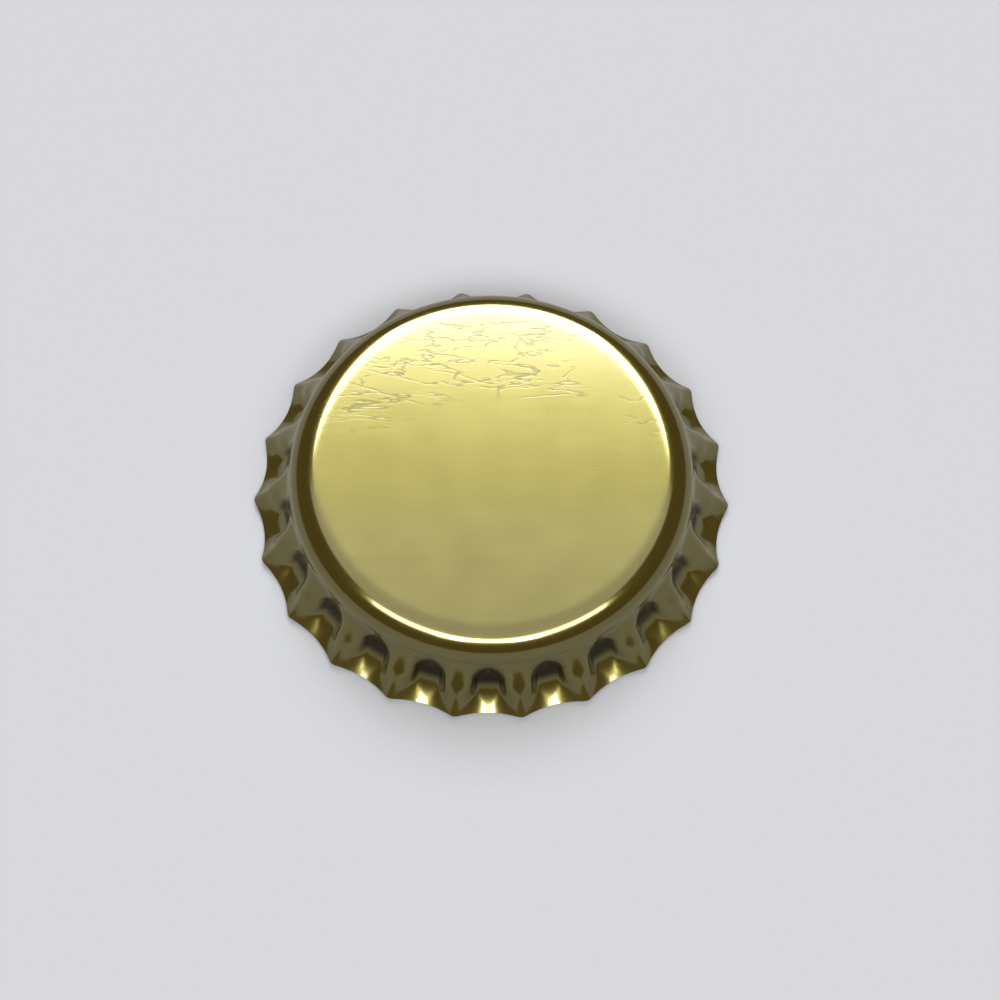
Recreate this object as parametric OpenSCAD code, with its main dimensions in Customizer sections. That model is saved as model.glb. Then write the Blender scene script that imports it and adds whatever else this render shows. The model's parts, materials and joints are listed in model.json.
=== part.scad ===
// Crown cap: a shell pressed from one round sheet-steel blank, and the sealing liner moulded into it.
// The cap stands on the rim of its skirt. The origin is on that plane, under the middle of the cap,
// and +Z runs up through the top panel. A tooth points along +X.

/* [Overall] */
// Diameter across the tooth tips
cap_d = 32.1; // [30:0.1:38.6]
// Height from the rim to the top of the panel
cap_h = 6; // [4.8:0.1:8]
// Inside diameter of the plain wall that goes over the bottle mouth
mouth_d = 26.75; // [22:0.05:27.5]
// Thickness of the sheet
sheet_t = 0.235; // [0.18:0.005:0.4]
// Outside radius of the corner between the panel and the wall
corner_r = 1.9; // [1:0.1:2.3]
// Height of the plain round wall under the corner
band_h = 0.25; // [0.15:0.05:0.8]

/* [Skirt] */
// Number of teeth pressed into the skirt
tooth_n = 22; // [16:1:24]
// How far a tooth tip stands out past the rim between the teeth
tip_proud = 0.63; // [0.2:0.01:1]
// Height of the underside of a tooth tip
tip_lift = 0.28; // [0:0.01:0.6]
// Angle between the wall of a pocket and the vertical
pocket_taper = 1; // [0:0.5:8]
// Height of the bend between the wall of a pocket and the flared lip
lip_h = 1.12; // [0.9:0.02:1.5]
// Drop from the plain wall to the bend where a tooth's crest leaves it
crest_drop = 0.4; // [0.2:0.05:0.6]

/* [Liner] */
// Thickness of the liner's middle
liner_t = 0.35; // [0.2:0.05:0.8]
// Depth of the outer sealing ring below the panel
seal_depth = 1.1; // [0.8:0.05:1.6]
// Width of the outer sealing ring
seal_w = 1.5; // [0.8:0.1:2.5]
// Depth of the inner bead below the panel
bead_depth = 0.7; // [0.5:0.05:1.2]
// Width of the inner bead
bead_w = 0.8; // [0.4:0.1:1]
// Diameter at the middle of the inner bead
bead_d = 20.4; // [12:0.1:21]
// Clearance between the liner's edge and the wall
liner_gap = 0.05; // [0.02:0.01:0.2]

/* [Hidden] */

mouth_r = mouth_d / 2;
wall_r = mouth_r + sheet_t;
panel_under = cap_h - sheet_t;
band_z = cap_h - corner_r - band_h;

// The skirt is swept between two curves on the middle of the sheet: one down the floor of a pocket,
// one down the crest of a tooth. Both leave the plain wall at the same point.
skin = sheet_t / 2;
root_lap = 0.05;
root_step = 0.01;
root = [mouth_r + skin, band_z + root_lap];
pocket_knee = [root[0] + (root[1] - lip_h) * tan(pocket_taper), lip_h];
lip_r = cap_d / 2 - tip_proud;
lip_angle = atan2(lip_h - skin, lip_r - pocket_knee[0]);
lip_end = [lip_r - skin * sin(lip_angle), skin * cos(lip_angle)];
crest_knee = root + (root_lap + crest_drop) * [tan(pocket_taper), -1];
crest_angle = atan2(crest_knee[1] - tip_lift, cap_d / 2 - crest_knee[0]);
tip_end = [cap_d / 2 - skin * sin(crest_angle), tip_lift + skin * cos(crest_angle)];

CURVE_STEPS = 60;
POCKET_PULL = 1.5;
CREST_PULL = 1;
pocket_table = even(bend(root, pocket_knee, lip_end, POCKET_PULL));
crest_table = even(bend(root, crest_knee, tip_end, CREST_PULL));

// Half the width of a tooth's foot, as shares of half a pitch: the teeth fan out of the wall, so that
// each pocket between them starts as an arch. A tooth is round-topped until CUSP_START of the way down
// and turns from there into a narrow, pointed tip.
half_pitch = 180 / tooth_n;
TOOTH_FOOT = [[0, 0.98], [0.1, 0.92], [0.2, 0.72], [0.32, 0.56], [0.7, 0.54], [1, 0.7]];
TOOTH_ROUND = 3;
TIP_CUSP = 1.5;
CUSP_START = 0.55;

// The mesh of the skirt: columns lie closest on the flanks of the teeth
COLUMNS = [0, 0.18, 0.34, 0.5, 0.66, 1];
ROWS = 9;
column_angles = [
    for (tooth = [0:tooth_n - 1], column = [-4:5])
        half_pitch * (2 * tooth + sign(column) * COLUMNS[abs(column)])
];
column_n = len(column_angles);

PROFILE_FN = 180;

// A curve that leaves p for the knee k and arrives at q from it; a stronger pull keeps it closer to k
function bend(p, k, q, pull) = [
    for (i = [0:CURVE_STEPS])
        let (
            t = i / CURVE_STEPS,
            shares = [pow(1 - t, 2), 2 * pull * t * (1 - t), pow(t, 2)]
        )
        (shares[0] * p + shares[1] * k + shares[2] * q) / (shares[0] + shares[1] + shares[2])
];

// The length of a path up to each of its points
function lengths(path) = [
    for (i = 0, run = 0; i < len(path); i = i + 1, run = run + step_length(path, i)) run
];
function step_length(path, i) = i < len(path) ? norm(path[i] - path[i - 1]) : 0;

// Tables that give a path's radius and height at a share of its length
function even(path) =
    let (run = lengths(path), full = run[len(path) - 1])
    [for (axis = [0, 1]) [for (i = [0:len(path) - 1]) [run[i] / full, path[i][axis]]]];
function along(table, s) = [lookup(s, table[0]), lookup(s, table[1])];

// How far the sheet lies from pocket floor (0) to tooth crest (1) at angle a and share s down the skirt
function tooth_share(a, s) =
    let (
        turns = a / (2 * half_pitch),
        off = 2 * abs(turns - round(turns)),
        across = min(off / lookup(s, TOOTH_FOOT), 1),
        cusp = max(s - CUSP_START, 0) / (1 - CUSP_START)
    )
    (1 - pow(across, TOOTH_ROUND)) * (1 - cusp) + pow(1 - across, TIP_CUSP) * cusp;

// A point on the middle of the sheet
function middle(a, s) =
    let (
        share = tooth_share(a, s),
        p = (1 - share) * along(pocket_table, s) + share * along(crest_table, s)
    )
    [p[0] * cos(a), p[0] * sin(a), p[1]];

// The outward direction square to the sheet there
function outward(a, s) =
    let (
        across = middle(a + 0.1, s) - middle(a - 0.1, s),
        down = middle(a, min(s + 0.01, 1)) - middle(a, max(s - 0.01, 0)),
        square_to = cross(down, across)
    )
    square_to / norm(square_to);

function skirt_side(side) = [
    for (row = [0:ROWS], a = column_angles)
        let (s = row / ROWS, half = row == 0 ? skin - root_step : skin)
        middle(a, s) + side * half * outward(a, s)
];

function quad(a, b, c, d) = [[a, b, c], [a, c, d]];

// The skirt, with its teeth. Its top ring is a little thinner than the plain wall and ends inside it.
module skirt() {
    points = concat(skirt_side(1), skirt_side(-1));
    inner = (ROWS + 1) * column_n;
    faces = [
        for (j = [0:column_n - 1])
            let (k = (j + 1) % column_n, low = ROWS * column_n)
            each concat(
                [
                    for (row = [0:ROWS - 1])
                        let (p = row * column_n, q = p + column_n)
                        each concat(
                            quad(p + j, p + k, q + k, q + j),
                            quad(inner + q + j, inner + q + k, inner + p + k, inner + p + j)
                        )
                ],
                quad(inner + j, inner + k, k, j),
                quad(low + j, low + k, inner + low + k, inner + low + j)
            )
    ];
    polyhedron(points, faces);
}

// Half the section of a lid with a round top corner, open at the bottom
module lid_section(r, top, bottom, corner) {
    translate([0, bottom])
        square([r, top - corner - bottom]);
    translate([0, bottom])
        square([r - corner, top - bottom]);
    translate([r - corner, top - corner])
        intersection() {
            circle(corner, $fn = PROFILE_FN);
            square(corner);
        }
}

// The panel, its corner and the plain wall, of one thickness throughout
module panel_and_wall() {
    rotate_extrude($fn = PROFILE_FN)
        difference() {
            lid_section(wall_r, cap_h, band_z, corner_r);
            translate([0, -1])
                lid_section(mouth_r, panel_under + 1, band_z, corner_r - sheet_t);
        }
}

module crown_shell() {
    color("darkkhaki") {
        panel_and_wall();
        skirt();
    }
}

// Half the section of a round-nosed ring of the liner, which reaches to the given depth under the panel
module bead_section(r, w, depth) {
    nose_z = panel_under - depth + w / 2;
    translate([r - w / 2, nose_z])
        square([w, panel_under - nose_z]);
    translate([r, nose_z])
        circle(w / 2, $fn = PROFILE_FN);
}

// The liner lies flat under the panel, and its outer sealing ring rounds into the corner
module sealing_liner() {
    liner_r = mouth_r - liner_gap;
    inner_corner = corner_r - sheet_t;
    color("whitesmoke")
        rotate_extrude($fn = PROFILE_FN)
            intersection() {
                lid_section(liner_r, panel_under, 0, inner_corner);
                union() {
                    translate([0, panel_under - liner_t])
                        square([liner_r, liner_t]);
                    bead_section(bead_d / 2, bead_w, bead_depth);
                    bead_section(liner_r - seal_w / 2, seal_w, seal_depth);
                }
            }
}

crown_shell();
sealing_liner();
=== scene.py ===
# A crown cap: a gold-lacquered tinplate shell with a toothed skirt, and its moulded sealing liner.
# Lengths are millimetres until mm() turns them to Blender's metres.
import json
import math
import bmesh
import bpy
from mathutils import Matrix, Vector


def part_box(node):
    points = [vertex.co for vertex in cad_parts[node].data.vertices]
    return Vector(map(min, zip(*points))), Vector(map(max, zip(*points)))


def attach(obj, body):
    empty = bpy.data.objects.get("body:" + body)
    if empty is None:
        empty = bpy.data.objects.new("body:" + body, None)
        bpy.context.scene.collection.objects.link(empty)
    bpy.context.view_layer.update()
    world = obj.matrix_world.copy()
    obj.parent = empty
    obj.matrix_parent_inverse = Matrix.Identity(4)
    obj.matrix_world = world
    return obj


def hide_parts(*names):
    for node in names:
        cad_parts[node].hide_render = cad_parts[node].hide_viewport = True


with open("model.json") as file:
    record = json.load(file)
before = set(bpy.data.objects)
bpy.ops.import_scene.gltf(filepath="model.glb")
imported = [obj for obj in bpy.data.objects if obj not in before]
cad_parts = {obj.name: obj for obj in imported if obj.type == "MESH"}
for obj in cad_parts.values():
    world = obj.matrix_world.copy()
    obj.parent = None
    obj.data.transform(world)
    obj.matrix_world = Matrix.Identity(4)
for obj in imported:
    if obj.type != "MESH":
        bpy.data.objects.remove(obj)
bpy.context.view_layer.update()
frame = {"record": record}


MM_PER_M = 1000


def mm(length):
    return length * 0.001


# --- sizes, from the frame -------------------------------------------------------------------

MOUNTS = {mount["name"]: mount for mount in frame["record"]["mounts"]}
MOUTH = MOUNTS["bottle_mouth"]
SHELL_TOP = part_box("crown_shell")[1] * MM_PER_M
TIP_R = SHELL_TOP.x
CAP_H = SHELL_TOP.z
MOUTH_R = MOUTH["dims"]["r_mm"]
BAND_Z = MOUTH["pos_m"][2] * MM_PER_M - MOUTH["dims"]["length_mm"] / 2
SHEET_T = 0.235
SKIN = SHEET_T / 2
CORNER_R = 1.9

# The panel reaches out to FLAT_R, where its corner begins, and is domed by this much at the middle
FLAT_R = MOUTH_R + SHEET_T - CORNER_R
PANEL_DOME = 0.06

# The skirt
TOOTH_N = 22
TIP_PROUD = 0.63
TIP_LIFT = 0.28
POCKET_TAPER = math.radians(1)
LIP_H = 1.12
POCKET_PULL = 1.5
CREST_PULL = 1
CREST_DROP = 0.4

# Half the width of a tooth's foot as shares of half a pitch, down the skirt from 0 to 1. A tooth is
# round-topped until CUSP_START of the way down, and turns from there into a pointed tip.
TOOTH_FOOT = ((0, 0.98), (0.1, 0.92), (0.2, 0.72), (0.32, 0.56), (0.7, 0.58), (1, 1))
TOOTH_ROUND = 3
TIP_CUSP = 2.2
CUSP_START = 0.55

# The mesh: columns round the cap, and rows down each stretch of the section
TOOTH_COLUMNS = 16
SHELL_COLUMNS = TOOTH_N * TOOTH_COLUMNS
SKIRT_ROWS = 14
CORNER_ROWS = 8
CURVE_STEPS = 240
HOLE_R = 0.5
PANEL_RINGS = (HOLE_R, 3, 6, 9, 10.8, 11.4)
# Shading stays sharp over edges that turn more than this
SHARP_ANGLE = math.radians(50)

# The liner: a flat middle with an inner bead, and a sealing ring that rounds into the corner.
# The skim keeps its back off the shell, and the fillet softens the foot of each ring.
LINER_T = 0.35
LINER_GAP = 0.05
LINER_SKIM = 0.01
LINER_FILLET = 0.08
BEAD_R, BEAD_W, BEAD_DEPTH = 10.2, 0.8, 0.7
SEAL_W, SEAL_DEPTH = 1.5, 1.1
LINER_COLUMNS = 96


# --- small helpers ---------------------------------------------------------------------------

def start_edit(piece=None):
    """Leaves nothing selected but the piece, and opens it in edit mode."""
    if bpy.context.object and bpy.context.object.mode != "OBJECT":
        bpy.ops.object.mode_set(mode="OBJECT")
    bpy.ops.object.select_all(action="DESELECT")
    if piece:
        piece.select_set(True)
        bpy.context.view_layer.objects.active = piece
        bpy.ops.object.mode_set(mode="EDIT")


def pick(piece, chosen):
    """Selects in edit mode the vertices whose numbers are chosen, and nothing else."""
    bpy.ops.mesh.select_all(action="DESELECT")
    mesh = bmesh.from_edit_mesh(piece.data)
    mesh.verts.ensure_lookup_table()
    for number in chosen:
        mesh.verts[number].select = True
    mesh.select_flush_mode()
    bmesh.update_edit_mesh(piece.data)


def face_outward():
    """Turns every normal of the piece in edit mode outward, and leaves edit mode."""
    bpy.ops.mesh.select_all(action="SELECT")
    bpy.ops.mesh.normals_make_consistent(inside=False)
    bpy.ops.object.mode_set(mode="OBJECT")


def apply_modifier(piece, kind, **settings):
    modifier = piece.modifiers.new(kind.title(), kind)
    for name, value in settings.items():
        setattr(modifier, name, value)
    bpy.ops.object.modifier_apply(modifier=modifier.name)


def between(table, share):
    """Reads a table of (share, number or point) pairs, straight between its entries."""
    for (low, start), (high, end) in zip(table, table[1:]):
        if share <= high:
            return start + (end - start) * (share - low) / (high - low)
    return table[-1][1]


def draw_rings(path, columns):
    """A circle drawn out ring by ring along a path of (radius, height) pairs, left in edit mode."""
    radius, height = path[0]
    start_edit()
    bpy.ops.mesh.primitive_circle_add(
        vertices=columns, radius=mm(radius), location=(0, 0, mm(height))
    )
    skin = bpy.context.object
    bpy.ops.object.transform_apply(location=True, rotation=True, scale=True)
    start_edit(skin)
    bpy.ops.mesh.select_all(action="SELECT")
    for (old_r, old_z), (r, z) in zip(path, path[1:]):
        bpy.ops.mesh.extrude_edges_move()
        bpy.ops.transform.resize(value=(r / old_r, r / old_r, 1), center_override=(0, 0, 0))
        bpy.ops.transform.translate(value=(0, 0, mm(z - old_z)))
    return skin


def close_centre(skin, above=0, below=CAP_H):
    """Fills the small hole round the axis, between two heights, with a fan."""
    near = [
        v.index for v in skin.data.vertices
        if v.co.xy.length < mm(HOLE_R) * 1.01 and mm(above) <= v.co.z <= mm(below)
    ]
    start_edit(skin)
    pick(skin, near)
    bpy.ops.mesh.edge_face_add()
    bpy.ops.mesh.poke()
    bpy.ops.object.mode_set(mode="OBJECT")


# --- the section of the shell, on the middle of the sheet --------------------------------------

def bend(start, knee, end, pull):
    """A curve that leaves start for the knee and arrives at end from it, as a table for between().

    A stronger pull keeps it closer to the knee. The shares in the table are shares of its length.
    """
    points = []
    for i in range(CURVE_STEPS + 1):
        t = i / CURVE_STEPS
        shares = ((1 - t) ** 2, 2 * pull * t * (1 - t), t ** 2)
        points.append((start * shares[0] + knee * shares[1] + end * shares[2]) / sum(shares))
    run = [0.0]
    for p, q in zip(points, points[1:]):
        run.append(run[-1] + (q - p).length)
    return [(length / run[-1], p) for length, p in zip(run, points)]


ROOT = Vector((MOUTH_R + SKIN, BAND_Z))
POCKET_KNEE = Vector((ROOT.x + (ROOT.y - LIP_H) * math.tan(POCKET_TAPER), LIP_H))
LIP_R = TIP_R - TIP_PROUD
LIP_ANGLE = math.atan2(LIP_H - SKIN, LIP_R - POCKET_KNEE.x)
LIP_END = Vector((LIP_R - SKIN * math.sin(LIP_ANGLE), SKIN * math.cos(LIP_ANGLE)))
CREST_KNEE = ROOT + CREST_DROP * Vector((math.tan(POCKET_TAPER), -1))
CREST_ANGLE = math.atan2(CREST_KNEE.y - TIP_LIFT, TIP_R - CREST_KNEE.x)
TIP_END = Vector((TIP_R - SKIN * math.sin(CREST_ANGLE), TIP_LIFT + SKIN * math.cos(CREST_ANGLE)))
POCKET = bend(ROOT, POCKET_KNEE, LIP_END, POCKET_PULL)
CREST = bend(ROOT, CREST_KNEE, TIP_END, CREST_PULL)


def tooth_share(off, share):
    """How far the sheet lies from pocket floor (0) to crest (1).

    It is taken off the crest by a share of half a pitch, and at a share of the way down the skirt.
    """
    across = min(off / between(TOOTH_FOOT, share), 1)
    cusp = max(share - CUSP_START, 0) / (1 - CUSP_START)
    return (1 - across ** TOOTH_ROUND) * (1 - cusp) + (1 - across) ** TIP_CUSP * cusp


def panel_and_corner():
    """Radius and height of each ring of the skin, from the middle of the panel round the corner."""
    corner = CORNER_R - SKIN
    centre_z = CAP_H - PANEL_DOME - CORNER_R
    rings = [(r, CAP_H - SKIN - PANEL_DOME * (r / FLAT_R) ** 2) for r in PANEL_RINGS]
    for i in range(CORNER_ROWS + 1):
        angle = math.pi / 2 * i / CORNER_ROWS
        rings.append((FLAT_R + corner * math.sin(angle), centre_z + corner * math.cos(angle)))
    return rings


# --- the shell -------------------------------------------------------------------------------

def pull_teeth(skin, skirt):
    """Pulls each column of each row of the skirt out from the pocket's curve towards the crest's."""
    mesh = bmesh.from_edit_mesh(skin.data)
    mesh.verts.ensure_lookup_table()
    first = len(mesh.verts) - SHELL_COLUMNS * SKIRT_ROWS
    groups = {}
    for vertex in mesh.verts[first:]:
        turns = math.atan2(vertex.co.y, vertex.co.x) / math.tau * TOOTH_N
        off = round(abs(turns - round(turns)) * TOOTH_COLUMNS)
        row = (vertex.index - first) // SHELL_COLUMNS
        groups.setdefault((row, off), []).append(vertex.index)
    for (row, off), chosen in sorted(groups.items()):
        share = (row + 1) / SKIRT_ROWS
        pull = tooth_share(off / (TOOTH_COLUMNS / 2), share)
        if pull <= 0:
            continue
        floor = skirt[row]
        target = floor.lerp(between(CREST, share), pull)
        spread = target.x / floor.x
        pick(skin, chosen)
        bpy.ops.transform.resize(value=(spread, spread, 1), center_override=(0, 0, 0))
        bpy.ops.transform.translate(value=(0, 0, mm(target.y - floor.y)))


def crown_shell(lacquer, cut_edge):
    """The shell: the middle of the sheet as a skin, smoothed once and given the sheet's thickness."""
    skirt = [between(POCKET, (i + 1) / SKIRT_ROWS) for i in range(SKIRT_ROWS)]
    path = panel_and_corner() + [tuple(p) for p in [ROOT, *skirt]]
    shell = draw_rings(path, SHELL_COLUMNS)
    pull_teeth(shell, skirt)
    face_outward()
    shell.name = "tinplate_crown"
    shell.data.materials.append(lacquer)
    shell.data.materials.append(cut_edge)
    apply_modifier(shell, "SUBSURF", levels=1, render_levels=1)
    close_centre(shell)
    apply_modifier(
        shell, "SOLIDIFY", thickness=mm(SHEET_T), offset=0, use_even_offset=True,
        material_offset_rim=1,
    )
    bpy.ops.object.shade_smooth_by_angle(angle=SHARP_ANGLE)
    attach(shell, "root")
    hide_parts("crown_shell")


# --- the liner -------------------------------------------------------------------------------

def arc(centre, radius, start, end, steps):
    """Points round a centre, from one angle in degrees to another."""
    angles = [math.radians(start + (end - start) * i / steps) for i in range(steps + 1)]
    return [(centre[0] + radius * math.cos(a), centre[1] + radius * math.sin(a)) for a in angles]


def liner_path():
    """The liner's section, from the middle of its open face over both rings and back at the panel."""
    seal_r = MOUTH_R - LINER_GAP - SEAL_W / 2
    corner = CORNER_R - SHEET_T - LINER_SKIM

    def back(r):
        return CAP_H - SHEET_T - LINER_SKIM - PANEL_DOME * (r / FLAT_R) ** 2

    def face(*radii):
        return [(r, back(r) - LINER_T) for r in radii]

    def nose(r, width, depth, start, end, steps):
        return arc((r, back(r) - depth + width / 2), width / 2, start, end, steps)

    return (
        face(HOLE_R, 4, 8, 9.4, BEAD_R - BEAD_W / 2 - LINER_FILLET)
        + nose(BEAD_R, BEAD_W, BEAD_DEPTH, 188, 352, 10)
        + face(BEAD_R + BEAD_W / 2 + LINER_FILLET, 11.2, seal_r - SEAL_W / 2 - LINER_FILLET)
        + nose(seal_r, SEAL_W, SEAL_DEPTH, 186, 312, 12)
        + arc((FLAT_R - LINER_GAP, CAP_H - PANEL_DOME - CORNER_R), corner, 30, 88, 7)
        + [(r, back(r)) for r in (9, 5, HOLE_R)]
    )


def moulded_liner(compound):
    """The liner, spun from its section and smoothed once."""
    liner = draw_rings(liner_path(), LINER_COLUMNS)
    liner.name = "moulded_liner"
    liner.data.materials.append(compound)
    bpy.ops.object.mode_set(mode="OBJECT")
    apply_modifier(liner, "SUBSURF", levels=1, render_levels=1)
    middle = CAP_H - SHEET_T - LINER_T / 2
    close_centre(liner, below=middle)
    close_centre(liner, above=middle)
    start_edit(liner)
    face_outward()
    bpy.ops.object.shade_smooth_by_angle(angle=SHARP_ANGLE)
    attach(liner, "root")
    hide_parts("sealing_liner")


# --- shader nodes ----------------------------------------------------------------------------

def linear(hex_colour):
    """The linear colour of an sRGB hex value."""
    channels = [int(hex_colour[i:i + 2], 16) / 255 for i in (1, 3, 5)]
    return [c / 12.92 if c <= 0.04045 else ((c + 0.055) / 1.055) ** 2.4 for c in channels] + [1]


def add_node(tree, kind, inputs=(), **settings):
    """Adds a node with its settings. Each input is given a value, or another node's output."""
    node = tree.nodes.new(kind)
    for name, value in settings.items():
        setattr(node, name, value)
    for name, value in dict(inputs).items():
        if isinstance(value, bpy.types.NodeSocket):
            tree.links.new(value, node.inputs[name])
        else:
            node.inputs[name].default_value = value
    return node


def new_material(name):
    """An empty material, its node tree and its shader."""
    material = bpy.data.materials.new(name)
    material.use_nodes = True
    tree = material.node_tree
    tree.nodes.clear()
    shader = add_node(tree, "ShaderNodeBsdfPrincipled")
    add_node(tree, "ShaderNodeOutputMaterial", {"Surface": shader.outputs["BSDF"]})
    return material, tree, shader


def compute(tree, operation, *operands):
    """The result of one operation on numbers and nodes' outputs."""
    return add_node(tree, "ShaderNodeMath", enumerate(operands), operation=operation).outputs[0]


def ramp(tree, value, low, high, start=0.0, end=1.0, kind="SMOOTHSTEP"):
    """Turns a value between low and high into one between start and end."""
    limits = {"Value": value, "From Min": low, "From Max": high, "To Min": start, "To Max": end}
    return add_node(tree, "ShaderNodeMapRange", limits, interpolation_type=kind).outputs[0]


def spread_over(tree, share, start, end):
    """Turns a share, 0 to 1, evenly into a value between start and end."""
    return ramp(tree, share, 0, 1, start, end, kind="LINEAR")


def noise(tree, place, scale, detail, roughness=0.5, distortion=0.0):
    """Noise from 0 to 1, with features about 1 / scale apart."""
    inputs = {
        "Vector": place, "Scale": scale, "Detail": detail, "Roughness": roughness,
        "Distortion": distortion,
    }
    return add_node(tree, "ShaderNodeTexNoise", inputs).outputs["Fac"]


def stretch(tree, place, scale, turn=0.0):
    """Scales the place along each axis, and turns it about Z."""
    inputs = {"Vector": place, "Scale": scale, "Rotation": (0, 0, turn)}
    return add_node(tree, "ShaderNodeMapping", inputs).outputs[0]


def mix_colours(tree, share, first, second):
    """Mixes two colours, which are inputs 6 and 7 of the node."""
    inputs = {0: share, 6: first, 7: second}
    return add_node(tree, "ShaderNodeMix", inputs, data_type="RGBA").outputs[2]


def relief(tree, height, depth, invert=False):
    """A bump that is the given number of millimetres deep."""
    inputs = {"Height": height, "Strength": 1, "Distance": mm(depth)}
    return add_node(tree, "ShaderNodeBump", inputs, invert=invert).outputs[0]


# --- materials -------------------------------------------------------------------------------

# The lacquer over clean metal, and where it is rubbed; and the painted shade, a dark brown, on the
# walls of the pockets
LACQUER_DEEP = "#7c763e"
LACQUER_PALE = "#8e884e"
LACQUER_RUBBED = "#676238"
POCKET_PAINTED_SHADE = "#2f2913"

# Scratches across the panel, each from one end to the other, and its width
SCRATCHES = (
    ((-10.5, 6.4), (-3.6, 4.2), 0.09),
    ((-8.9, 7.3), (-6.2, 6.7), 0.06),
    ((-5.6, 8.6), (-1.2, 8.0), 0.08),
    ((-5.0, 7.4), (0.6, 6.1), 0.07),
    ((1.2, 5.2), (5.8, 5.6), 0.06),
    ((-2.4, 9.2), (-3.0, 7.7), 0.05),
)
SCRATCH_WOBBLE = 0.25
WEAR_DEPTH = 0.0006
WEAR_ROUGHNESS = 0.12
# Wear stops this far below the top of the cap
WEAR_REACH = 0.2

# The scuffs fade in between these places along Y, towards the back of the panel
SCUFFS_FROM, SCUFFS_FULL = 0.5, 4.5

# How fast the edge of the painted pocket shade moves outward on the way down, and how softly it ends
POCKET_LEAN = 0.35
POCKET_FADE = 0.25

# The roughness of the metal under the lacquer, and what the press adds at the foot of the skirt
SATIN_ROUGHNESS = (0.16, 0.18)
PRESSED_ROUGHNESS = 0.1

# How much of the lacquer's mottle is grain, the rest being cloud; the coat left on the pocket walls,
# which are painted dark as shade
GRAIN_SHARE = 0.45
POCKET_GLOSS = 0.3


def scratch(tree, place, wobble, start, end, width):
    """The depth, 0 to 1, of one scratch that fades at its ends."""
    run = Vector(end) - Vector(start)
    along = add_node(
        tree, "ShaderNodeMapping",
        {"Vector": place, "Location": (*start, 0), "Rotation": (0, 0, math.atan2(run.y, run.x))},
        vector_type="TEXTURE",
    )
    axes = add_node(tree, "ShaderNodeSeparateXYZ", {"Vector": along.outputs[0]}).outputs
    aside = compute(tree, "ABSOLUTE", compute(tree, "ADD", axes["Y"], wobble))
    groove = ramp(tree, aside, 0, width, 1, 0)
    from_middle = compute(tree, "ABSOLUTE", compute(tree, "SUBTRACT", axes["X"], run.length / 2))
    fade = ramp(tree, from_middle, run.length * 0.25, run.length / 2, 1, 0)
    return compute(tree, "MULTIPLY", groove, fade)


def panel_wear(tree, place, axes):
    """How worn the lacquer is, 0 to 1: creased scuffs in patches, and scratches, on the panel only."""
    lengthwise = stretch(tree, place, (0.2, 0.7, 1), 0.25)
    crease_noise = noise(tree, lengthwise, 1, 3, roughness=0.6, distortion=0.4)
    off_middle = compute(tree, "ABSOLUTE", compute(tree, "SUBTRACT", crease_noise, 0.5))
    crease = ramp(tree, off_middle, 0, 0.03, 1, 0)
    patches = ramp(tree, noise(tree, place, 0.2, 2), 0.38, 0.54, kind="LINEAR")
    towards_back = ramp(tree, axes["Y"], SCUFFS_FROM, SCUFFS_FULL)
    scuffed = compute(tree, "MULTIPLY", patches, towards_back)
    wear = compute(tree, "MULTIPLY", crease, scuffed)
    wobble = spread_over(tree, noise(tree, place, 0.5, 1), -SCRATCH_WOBBLE, SCRATCH_WOBBLE)
    for start, end, width in SCRATCHES:
        wear = compute(tree, "MAXIMUM", wear, scratch(tree, place, wobble, start, end, width))
    on_panel = compute(tree, "GREATER_THAN", axes["Z"], CAP_H - WEAR_REACH)
    return compute(tree, "MULTIPLY", wear, on_panel)


def painted_pocket_shade_mask(tree, place, axes):
    """Where the walls of the pockets between the teeth are painted dark as shade, 0 to 1, fading out at
    the foot.
    """
    level = add_node(tree, "ShaderNodeVectorMath", {0: place, 1: (1, 1, 0)}, operation="MULTIPLY")
    radius = add_node(tree, "ShaderNodeVectorMath", {0: level.outputs[0]}, operation="LENGTH")
    reach = compute(tree, "MULTIPLY_ADD", axes["Z"], POCKET_LEAN, radius.outputs["Value"])
    edge = ROOT.x + ROOT.y * POCKET_LEAN
    inside = ramp(tree, reach, edge - POCKET_FADE, edge + POCKET_FADE, 1, 0)
    under_wall = ramp(tree, axes["Z"], ROOT.y - 0.5, ROOT.y - 0.1, 1, 0)
    over_foot = ramp(tree, axes["Z"], LIP_H, LIP_H + 0.9)
    return compute(tree, "MULTIPLY", compute(tree, "MULTIPLY", inside, under_wall), over_foot)


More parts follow.
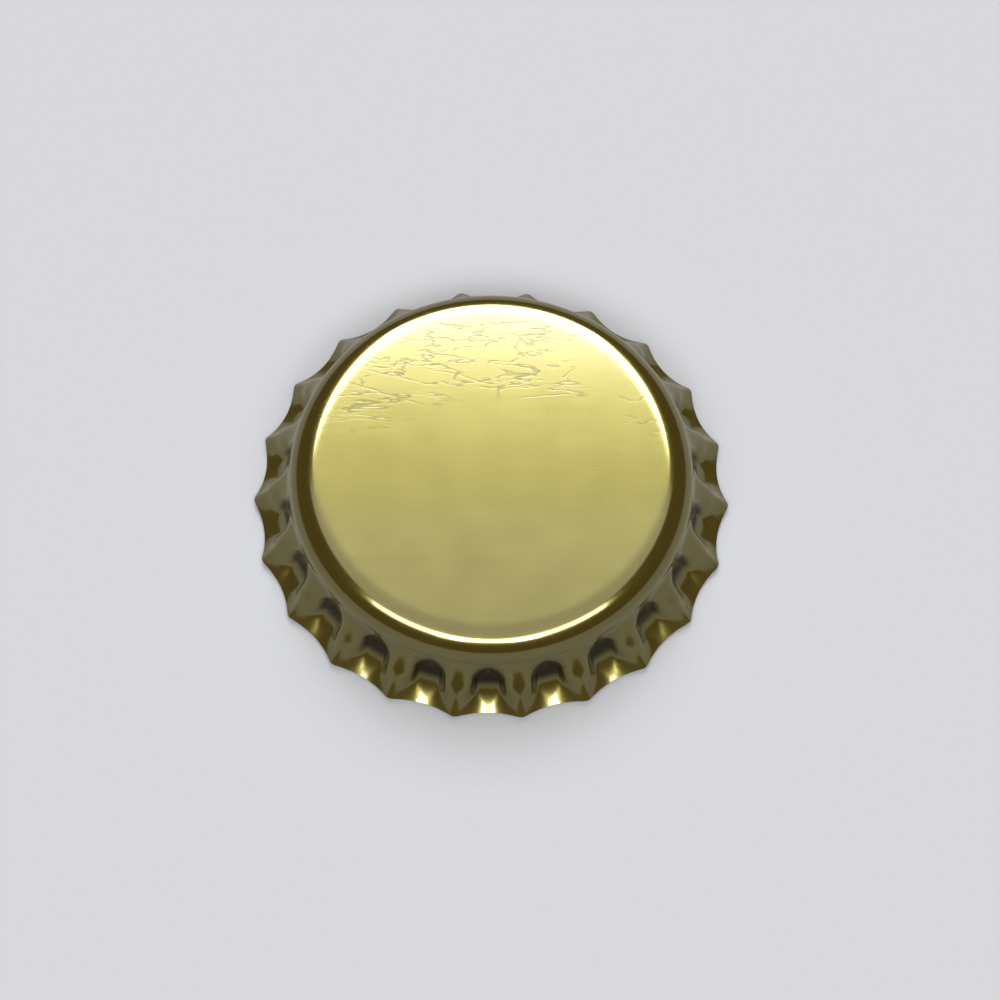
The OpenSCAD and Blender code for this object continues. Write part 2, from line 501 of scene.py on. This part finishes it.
def gold_lacquered_tinplate():
    """Bright tinplate under a transparent gold lacquer: satin metal below, gloss on top."""
    material, tree, shader = new_material("gold_lacquered_tinplate")
    texture = add_node(tree, "ShaderNodeTexCoord")
    place = add_node(
        tree, "ShaderNodeVectorMath", {0: texture.outputs["Object"], "Scale": MM_PER_M},
        operation="SCALE",
    ).outputs[0]
    axes = add_node(tree, "ShaderNodeSeparateXYZ", {"Vector": place}).outputs
    wear = panel_wear(tree, place, axes)
    # Painted shade: a mask of the pocket walls, which are darkened in colour below
    pocket_shade = painted_pocket_shade_mask(tree, place, axes)

    # Rolling grain in streaks about 0.7 mm apart and ten times as long, under lacquer that is
    # cloudy in patches of about 3 mm
    grain = noise(tree, stretch(tree, place, (0.15, 1.5, 1.5), 0.12), 1, 3)
    cloud = noise(tree, place, 0.35, 4)
    mottle = add_node(
        tree, "ShaderNodeMix", {0: GRAIN_SHARE, 2: cloud, 3: grain}, data_type="FLOAT"
    ).outputs[0]

    # The lacquer darkens where it is rubbed, and the walls of the pockets are painted dark brown as
    # shade, with less coat there
    clean = mix_colours(tree, mottle, linear(LACQUER_DEEP), linear(LACQUER_PALE))
    rubbed = mix_colours(tree, wear, clean, linear(LACQUER_RUBBED))
    shade_painted = mix_colours(tree, pocket_shade, rubbed, linear(POCKET_PAINTED_SHADE))
    tree.links.new(shade_painted, shader.inputs["Base Color"])
    tree.links.new(spread_over(tree, pocket_shade, 1, POCKET_GLOSS), shader.inputs["Coat Weight"])

    # The metal is rougher in the scuffs, and low on the skirt where the press has drawn it
    satin = spread_over(tree, cloud, *SATIN_ROUGHNESS)
    scuffed = compute(tree, "MULTIPLY_ADD", wear, WEAR_ROUGHNESS, satin)
    pressed = ramp(tree, axes["Z"], 0.4, 2.6, PRESSED_ROUGHNESS, 0)
    tree.links.new(compute(tree, "ADD", scuffed, pressed), shader.inputs["Roughness"])

    bump = relief(tree, wear, WEAR_DEPTH, invert=True)
    tree.links.new(bump, shader.inputs["Normal"])
    tree.links.new(bump, shader.inputs["Coat Normal"])
    shader.inputs["Metallic"].default_value = 1
    shader.inputs["Coat IOR"].default_value = 1.72
    shader.inputs["Coat Roughness"].default_value = 0.075
    return material


def textured(name, low, high, size, roughness, depth, proportions=(1, 1, 1)):
    """A material whose colour, roughness and relief follow one noise, with features of a size in mm."""
    material, tree, shader = new_material(name)
    texture = add_node(tree, "ShaderNodeTexCoord")
    scale = [MM_PER_M / size / p for p in proportions]
    pattern = noise(tree, stretch(tree, texture.outputs["Object"], scale), 1, 4)
    colour = mix_colours(tree, pattern, linear(low), linear(high))
    rough = spread_over(tree, pattern, roughness - 0.06, roughness + 0.06)
    tree.links.new(colour, shader.inputs["Base Color"])
    tree.links.new(rough, shader.inputs["Roughness"])
    tree.links.new(relief(tree, pattern, depth), shader.inputs["Normal"])
    return material, shader


def sheared_steel():
    """The blank's cut edge: bare steel with fine upright shear marks."""
    material, shader = textured(
        "sheared_steel_edge", "#7d7b76", "#a09e98", 0.08, 0.38, 0.004, (1, 1, 6)
    )
    shader.inputs["Metallic"].default_value = 1
    return material


def liner_compound():
    """Moulded plastic, off-white and a little waxy."""
    material, shader = textured("moulded_liner_compound", "#d6d7d0", "#e4e4dd", 1.5, 0.38, 0.004)
    shader.inputs["Subsurface Weight"].default_value = 0.15
    shader.inputs["Subsurface Radius"].default_value = (1, 0.9, 0.8)
    shader.inputs["Subsurface Scale"].default_value = mm(0.5)
    return material


def matte_paper(name, low, high):
    """Smooth uncoated paper."""
    return textured(name, low, high, 0.4, 0.88, 0.002)[0]


# --- stage, light and camera -----------------------------------------------------------------

def ground(name, paper, lift):
    """A wide plane under the cap."""
    start_edit()
    bpy.ops.mesh.primitive_plane_add(size=8, location=(0, 0, mm(lift)))
    plane = bpy.context.object
    plane.name = name
    plane.data.materials.append(paper)
    return plane


def make_floor():
    """The pale floor, and a darker one that stands in for it in mirror reflections only."""
    floor = ground("floor", matte_paper("matte_paper", "#acafb7", "#b0b3bb"), 0)
    floor.visible_glossy = False
    board = ground("reflected_board", matte_paper("grey_board", "#83817d", "#878581"), 0.005)
    board.visible_camera = False
    board.visible_diffuse = False
    board.visible_transmission = False
    board.visible_shadow = False


def direction(azimuth, elevation):
    """From the cap: azimuth 0 is towards the front, -Y, and 90 towards +X."""
    a, e = math.radians(azimuth), math.radians(elevation)
    return Vector((math.sin(a) * math.cos(e), -math.cos(a) * math.cos(e), math.sin(e)))


# The light boxes' distance in metres, and the dim warm light of the room, which is linear
LIGHT_DISTANCE = 1.5
ROOM_LIGHT = (0.19, 0.14, 0.05, 1)


def softbox(name, azimuth, elevation, width, height, radiance):
    """A flat light that faces the cap. Its place, width and height are angles seen from the cap."""
    light = bpy.data.lights.new(name, "AREA")
    light.shape = "RECTANGLE"
    light.size = 2 * LIGHT_DISTANCE * math.tan(math.radians(width / 2))
    light.size_y = 2 * LIGHT_DISTANCE * math.tan(math.radians(height / 2))
    light.energy = radiance * light.size * light.size_y * math.pi
    lamp = bpy.data.objects.new(name, light)
    bpy.context.scene.collection.objects.link(lamp)
    towards = direction(azimuth, elevation)
    lamp.location = towards * LIGHT_DISTANCE
    lamp.rotation_euler = towards.to_track_quat("Z", "Y").to_euler()


def make_light():
    """A dim warm room, a soft ceiling, a window behind the cap and a row of three in front of it."""
    world = bpy.data.worlds.new("studio")
    bpy.context.scene.world = world
    world.use_nodes = True
    world.node_tree.nodes["Background"].inputs["Color"].default_value = ROOM_LIGHT
    softbox("ceiling", 0, 90, 60, 50, 0.75)
    softbox("window_behind", 180, 47.5, 32, 29.4, 8)
    for azimuth in (-35, 0, 35):
        softbox("window_front", azimuth, 53, 35, 15.5, 5.8)
    bpy.context.scene.view_settings.view_transform = "Standard"


# The camera, in degrees and millimetres. It aims a little to the right of the middle of the circle
# of tooth tips, and above it.
CAMERA_AZIMUTH = 0.545
CAMERA_ELEVATION = 64.49
CAMERA_ROLL = 0.206
CAMERA_DISTANCE = 500
CAMERA_LENS = 266.5
AIM_RIGHT = 0.602
AIM_UP = 0.157
TIP_TOP = TIP_LIFT + SHEET_T * math.cos(CREST_ANGLE)


def make_camera():
    """A long lens, high in front of the cap."""
    data = bpy.data.cameras.new("camera")
    data.lens = CAMERA_LENS
    data.clip_start, data.clip_end = 0.05, 50
    camera = bpy.data.objects.new("camera", data)
    bpy.context.scene.collection.objects.link(camera)
    back = direction(CAMERA_AZIMUTH, CAMERA_ELEVATION)
    turn = back.to_track_quat("Z", "Y")
    right, up = turn @ Vector((1, 0, 0)), turn @ Vector((0, 1, 0))
    aim = Vector((0, 0, TIP_TOP)) + right * AIM_RIGHT + up * AIM_UP
    roll = Matrix.Rotation(math.radians(CAMERA_ROLL), 3, "Z").to_quaternion()
    camera.location = mm(aim + back * CAMERA_DISTANCE)
    camera.rotation_euler = (turn @ roll).to_euler()
    bpy.context.scene.camera = camera


# --- the whole scene -------------------------------------------------------------------------

make_camera()
crown_shell(gold_lacquered_tinplate(), sheared_steel())
moulded_liner(liner_compound())
make_floor()
make_light()
